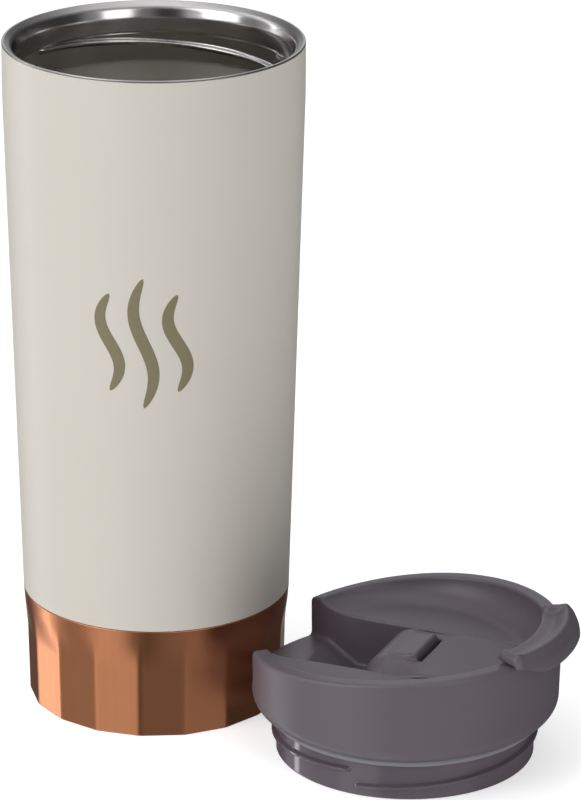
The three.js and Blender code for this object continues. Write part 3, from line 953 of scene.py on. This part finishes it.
def hidden_nodes(bare_steel, rubber):
    for node in ("outer_bottom", "vacuum_seal", "getter", "getter_clip", "hinge_pin"):
        repaint(node, bare_steel)
    for node in ("spout_seal", "vent_seal"):
        repaint(node, rubber)


# ---------------------------------------------------------------- the studio and the camera


def studio():
    mesh = bpy.data.meshes.new("floor")
    mesh.from_pydata([(-4, -3, 0), (4, -3, 0), (4, 5, 0), (-4, 5, 0)], [], [(0, 1, 2, 3)])
    glow = {"Emission_Color": (1, 1, 1, 1), "Emission_Strength": 0.55}
    mesh.materials.append(Finish("white_paper", (0.9, 0.9, 0.9), 0.9, **glow).material)
    floor = bpy.data.objects.new("floor", mesh)
    floor.visible_glossy = False  # the room's upright panels reflect in its place
    bpy.context.scene.collection.objects.link(floor)
    softbox("key", (-0.85, -0.55, 0.75), 0.7, 0.9, 5)
    softbox("top", (0.1, 0.1, 1.2), 0.9, 0.9, 2)
    softbox("fill", (0.7, -1.1, 0.6), 0.6, 0.8, 3)


def softbox(name, place, wide, tall, watts):
    """A soft rectangular light, aimed at the middle of the object."""
    light = bpy.data.lights.new(name, "AREA")
    light.shape = "RECTANGLE"
    light.size, light.size_y, light.energy = wide, tall, watts
    lamp = bpy.data.objects.new(name, light)
    lamp.location = place
    aim = Vector((0.03, 0, 0.1)) - Vector(place)
    lamp.rotation_euler = aim.to_track_quat("-Z", "Y").to_euler()
    bpy.context.scene.collection.objects.link(lamp)


def surroundings():
    """A white room for the camera, and a dim one with upright soft panels for light and reflections."""
    world = bpy.data.worlds.new("studio")
    bpy.context.scene.world = world
    world.use_nodes = True
    nodes, links = world.node_tree.nodes, world.node_tree.links
    nodes.clear()

    def add(kind, **values):
        node = nodes.new(kind)
        for key, value in values.items():
            setattr(node, key, value)
        return node

    split = add("ShaderNodeSeparateXYZ")
    links.new(add("ShaderNodeTexCoord").outputs["Generated"], split.inputs[0])
    level = add("ShaderNodeCombineXYZ")
    links.new(split.outputs["X"], level.inputs["X"])
    links.new(split.outputs["Y"], level.inputs["Y"])
    heading = add("ShaderNodeVectorMath", operation="NORMALIZE")
    links.new(level.outputs[0], heading.inputs[0])

    overhead = add("ShaderNodeMapRange", interpolation_type="SMOOTHSTEP")
    links.new(split.outputs["Z"], overhead.inputs["Value"])
    for socket, value in (("From Min", 0.45), ("From Max", 0.8), ("To Min", 0.05), ("To Max", 0.25)):
        overhead.inputs[socket].default_value = value
    total = overhead.outputs["Result"]
    for azimuth, half, soft, brightness in PANELS:
        angle = math.radians(azimuth)
        towards = add("ShaderNodeVectorMath", operation="DOT_PRODUCT")
        links.new(heading.outputs[0], towards.inputs[0])
        towards.inputs[1].default_value = (math.cos(angle), math.sin(angle), 0)
        panel = add("ShaderNodeMapRange", interpolation_type="SMOOTHSTEP")
        links.new(towards.outputs["Value"], panel.inputs["Value"])
        panel.inputs["From Min"].default_value = math.cos(math.radians(half + soft))
        panel.inputs["From Max"].default_value = math.cos(math.radians(half))
        panel.inputs["To Max"].default_value = brightness
        both = add("ShaderNodeMath", operation="ADD")
        links.new(total, both.inputs[0])
        links.new(panel.outputs["Result"], both.inputs[1])
        total = both.outputs[0]

    lit = add("ShaderNodeBackground")
    lit.inputs["Color"].default_value = (0.95, 0.97, 1, 1)
    links.new(total, lit.inputs["Strength"])
    seen = add("ShaderNodeBackground")
    seen.inputs["Color"].default_value = (1, 1, 1, 1)
    blend = add("ShaderNodeMixShader")
    links.new(add("ShaderNodeLightPath").outputs["Is Camera Ray"], blend.inputs[0])
    links.new(lit.outputs[0], blend.inputs[1])
    links.new(seen.outputs[0], blend.inputs[2])
    links.new(blend.outputs[0], add("ShaderNodeOutputWorld").inputs["Surface"])


def camera():
    pitch, roll, distance = math.radians(20.29), math.radians(0.37), 1.1601
    target = (0.0365, 0, 0.0841)
    data = bpy.data.cameras.new("camera")
    data.lens = 192.94
    data.sensor_width = 36
    data.clip_start = 0.05
    eye = bpy.data.objects.new("camera", data)
    back = Vector((0, -math.cos(pitch), math.sin(pitch))) * distance
    tilt = Matrix.Rotation(math.pi / 2 - pitch, 4, "X") @ Matrix.Rotation(roll, 4, "Z")
    eye.matrix_world = Matrix.Translation(Vector(target) + back) @ tilt
    bpy.context.scene.collection.objects.link(eye)
    bpy.context.scene.camera = eye


def main():
    bpy.context.scene.view_settings.view_transform = "Standard"
    bare_steel = steel("brushed_steel", (0.52, 0.5, 0.48))
    rubber = silicone()
    tumbler(bare_steel)
    lid(rubber)
    hidden_nodes(bare_steel, rubber)
    studio()
    surroundings()
    camera()


main()
